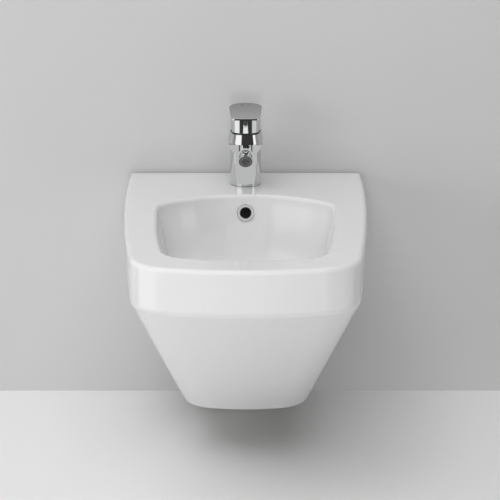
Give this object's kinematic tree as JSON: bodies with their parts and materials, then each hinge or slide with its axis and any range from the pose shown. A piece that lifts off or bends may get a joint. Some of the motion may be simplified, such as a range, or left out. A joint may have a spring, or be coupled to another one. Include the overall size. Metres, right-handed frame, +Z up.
{
  "type": "wall-hung bidet with mixer tap",
  "caption": "White wall-hung bidet of glazed china with an open bowl, overflow, push-open waste and a chromed single-lever mixer with a tilting nozzle.",
  "frame": {"origin": "on the wall face, midway between the two wall studs", "axes": "+X to the right seen from the front, +Y into the wall along the studs, +Z up"},
  "size_m": [0.3572, 0.5399, 0.4091],
  "materials": {
    "china": "white gloss glaze",
    "chrome": "polished chrome plate",
    "brass": "turned brass",
    "steel": "zinc plated and stainless steel",
    "rubber": "black rubber",
    "white_plastic": "moulded acetal",
    "grey_plastic": "moulded grey plastic",
    "disc_ceramic": "lapped alumina",
    "blue_enamel": "blue enamel",
    "red_enamel": "red enamel"
  },
  "bodies": {
    "bidet": {"ceramic_body": "china", "overflow_ring": "chrome", "fixing_sleeves": "white_plastic", "fixing_washers": "steel", "fixing_nuts": "steel", "waste_body": "chrome", "waste_top_seal": "rubber", "waste_lower_seal": "rubber", "waste_nut": "brass", "click_barrel": "brass", "tap_body": "chrome", "base_gasket": "rubber", "fixing_stud": "steel", "clamp_gasket": "rubber", "clamp_plate": "steel", "clamp_nut": "brass", "port_seals": "rubber", "cartridge_base": "white_plastic", "fixed_disc": "disc_ceramic", "cartridge_housing": "white_plastic", "cartridge_nut": "brass", "cartridge_cover": "chrome", "glide_ring": "grey_plastic", "ball_collar": "chrome"},
    "mixing_head": {"stem_holder": "white_plastic", "stem_pin": "steel"},
    "lever": {"handle": "chrome", "lever_stem": "steel", "handle_screw": "steel", "screw_plug": "grey_plastic", "cold_dot": "blue_enamel", "hot_dot": "red_enamel"},
    "mixing_disc": {"moving_disc": "disc_ceramic", "disc_carrier": "white_plastic"},
    "nozzle_seat": {"ball_seat": "white_plastic"},
    "nozzle": {"nozzle_ball": "chrome", "aerator_housing": "chrome", "aerator_washer": "rubber", "aerator_insert": "grey_plastic"},
    "waste_plug": {"plug_cap": "chrome", "plug_seal": "rubber", "plug_stem": "brass"}
  },
  "joints": [
    {"name": "temperature_swivel", "type": "hinge", "parent": "bidet", "child": "mixing_head", "pos_m": [0, -0.071, 0.174], "axis": [0, 0, 1], "range_deg": [-45, 45]},
    {"name": "lever_lift", "type": "hinge", "parent": "mixing_head", "child": "lever", "pos_m": [0, -0.071, 0.174], "axis": [-1, 0, 0], "range_deg": [0, 22]},
    {"name": "disc_slide", "type": "slide", "parent": "mixing_head", "child": "mixing_disc", "axis": [0, -1, 0], "range_m": [0, 0.0074]},
    {"name": "nozzle_turn", "type": "hinge", "parent": "bidet", "child": "nozzle_seat", "pos_m": [0, -0.121, 0.1394], "axis": [0, 1, 0], "continuous": true},
    {"name": "nozzle_tilt", "type": "hinge", "parent": "nozzle_seat", "child": "nozzle", "pos_m": [0, -0.121, 0.1394], "axis": [1, 0, 0], "range_deg": [-37, 3]},
    {"name": "plug_rise", "type": "slide", "parent": "bidet", "child": "waste_plug", "axis": [0, 0, 1], "range_m": [0, 0.008]}
  ],
  "couplings": [
    {"joint": "disc_slide", "follows": "lever_lift", "m_per_rad": 0.019083}
  ]
}
